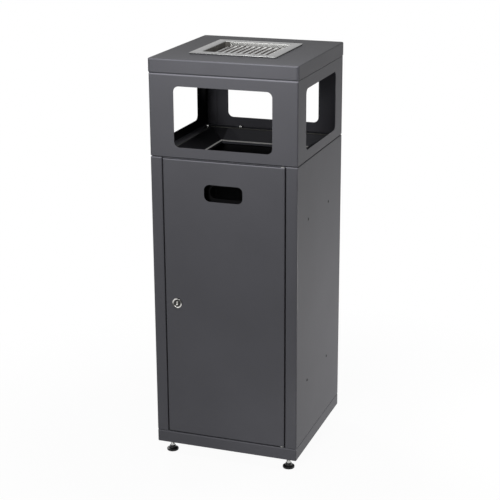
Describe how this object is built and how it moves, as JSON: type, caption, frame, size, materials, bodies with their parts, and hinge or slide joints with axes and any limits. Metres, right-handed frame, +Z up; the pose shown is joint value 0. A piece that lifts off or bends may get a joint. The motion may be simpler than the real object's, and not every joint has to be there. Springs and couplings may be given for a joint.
{
  "type": "waste bin with ashtray",
  "caption": "Square free-standing waste bin with a hinged lockable door, open hood windows, an inner container, a lift-out ash pan with grate in the lid, and levelling feet.",
  "frame": {"origin": "on the floor under the middle of the bin", "axes": "+Z up, -Y out of the door, +X towards the hinge side"},
  "size_m": [0.353, 0.3545, 0.963],
  "materials": {
    "powder_coat": "fine semi-gloss anthracite powder coat",
    "stainless": "fine brushed stainless steel",
    "liner_black": "black coated sheet steel, scuffed by use",
    "galvanised": "galvanised steel with faint spangle",
    "zinc": "bright zinc plating",
    "lock_chrome": "polished die cast, lightly handled",
    "rivet_black": "black rivet heads",
    "foot_plastic": "moulded black plastic",
    "bush_nylon": "natural grey nylon",
    "buffer_rubber": "soft black rubber"
  },
  "bodies": {
    "carcass": {"base_tray": "powder_coat", "body_shell": "powder_coat", "door_stop": "powder_coat", "front_rail": "powder_coat", "hood": "powder_coat", "lid": "powder_coat", "chute_plate": "powder_coat", "guide_left_lower": "galvanised", "guide_left_upper": "galvanised", "guide_right_lower": "galvanised", "guide_right_upper": "galvanised", "hinge_pin_lower": "zinc", "hinge_pin_upper": "zinc", "hood_screws": "zinc", "hood_nuts": "zinc", "lid_screws": "zinc", "lid_nuts": "zinc", "base_screws": "zinc", "base_nuts": "zinc", "foot_inserts": "zinc", "foot_locknuts": "zinc", "guide_rivets": "rivet_black", "door_buffers": "buffer_rubber"},
    "door": {"door_panel": "powder_coat", "hinge_bush_lower": "bush_nylon", "hinge_bush_upper": "bush_nylon", "lock_housing": "lock_chrome", "lock_nut": "zinc"},
    "lock": {"lock_plug": "lock_chrome", "lock_cam": "zinc", "cam_screw": "zinc"},
    "pan": {"ash_pan": "stainless"},
    "grate": {"ash_grate": "stainless", "grate_leg_left": "stainless", "grate_leg_right": "stainless"},
    "container": {"liner": "liner_black"},
    "foot_front_left": {"foot_pad_front_left": "foot_plastic", "foot_spindle_front_left": "zinc"},
    "foot_front_right": {"foot_pad_front_right": "foot_plastic", "foot_spindle_front_right": "zinc"},
    "foot_back_left": {"foot_pad_back_left": "foot_plastic", "foot_spindle_back_left": "zinc"},
    "foot_back_right": {"foot_pad_back_right": "foot_plastic", "foot_spindle_back_right": "zinc"}
  },
  "joints": [
    {"name": "door_hinge", "type": "hinge", "parent": "carcass", "child": "door", "pos_m": [0.139, -0.1685, 0.3985], "axis": [0, 0, 1], "range_deg": [0, 100]},
    {"name": "lock_turn", "type": "hinge", "parent": "door", "child": "lock", "pos_m": [-0.1164, -0.165, 0.3907], "axis": [0, 1, 0], "range_deg": [0, 90]},
    {"name": "pan_lift", "type": "slide", "parent": "carcass", "child": "pan", "axis": [0, 0, 1], "range_m": [0, 0.06]},
    {"name": "grate_lift", "type": "slide", "parent": "pan", "child": "grate", "axis": [0, 0, 1], "range_m": [0, 0.06]},
    {"name": "container_lift", "type": "slide", "parent": "carcass", "child": "container", "axis": [0, 0, 1], "range_m": [0, 0.02]},
    {"name": "foot_front_left_level", "type": "slide", "parent": "carcass", "child": "foot_front_left", "axis": [0, 0, 1], "range_m": [-0.01, 0.006]},
    {"name": "foot_front_right_level", "type": "slide", "parent": "carcass", "child": "foot_front_right", "axis": [0, 0, 1], "range_m": [-0.01, 0.006]},
    {"name": "foot_back_left_level", "type": "slide", "parent": "carcass", "child": "foot_back_left", "axis": [0, 0, 1], "range_m": [-0.01, 0.006]},
    {"name": "foot_back_right_level", "type": "slide", "parent": "carcass", "child": "foot_back_right", "axis": [0, 0, 1], "range_m": [-0.01, 0.006]}
  ]
}
